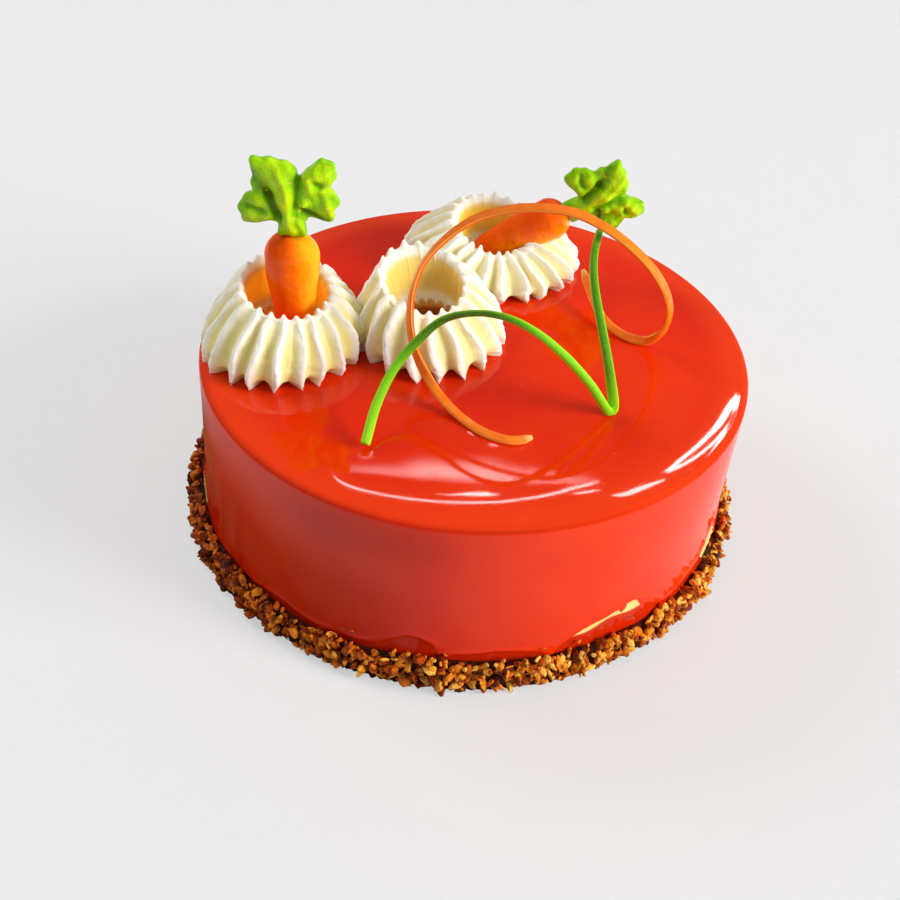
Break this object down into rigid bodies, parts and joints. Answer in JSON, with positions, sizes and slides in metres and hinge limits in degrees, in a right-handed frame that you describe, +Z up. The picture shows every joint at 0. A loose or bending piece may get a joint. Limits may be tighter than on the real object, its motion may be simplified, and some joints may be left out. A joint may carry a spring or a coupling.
{
  "type": "glazed carrot cake",
  "caption": "Round uncut cake in red mirror glaze with a nut band round its foot, fluted cream rings, moulded sugar carrots, a folded chive and a tall curl of carrot peel on top.",
  "frame": {"origin": "centre of the cake's foot, on the surface it stands on", "axes": "+Z up; -Y is the front, with the upright carrot to the front left (-X) and the lying carrot at the back; +X to the right"},
  "size_m": [0.1944, 0.1952, 0.1313],
  "materials": {
    "glaze": "mirror glaze, wet gloss",
    "nuts": "rough chopped caramelised nuts",
    "cream": "soft satin piped cream",
    "orange_sugar": "glossy moulded sugar, slightly translucent",
    "green_sugar": "glossy moulded sugar, mottled green",
    "chive": "waxy fresh stalk",
    "peel": "moist carrot peel"
  },
  "bodies": {
    "root": {"cake_body": "glaze", "nut_crumb_band": "nuts", "cream_ring_left": "cream", "cream_ring_middle": "cream", "cream_ring_back": "cream", "carrot_left_root": "orange_sugar", "carrot_left_leaf": "green_sugar", "carrot_back_root": "orange_sugar", "carrot_back_leaf": "green_sugar", "chive_stalk": "chive", "carrot_curl": "peel"}
  },
  "joints": []
}
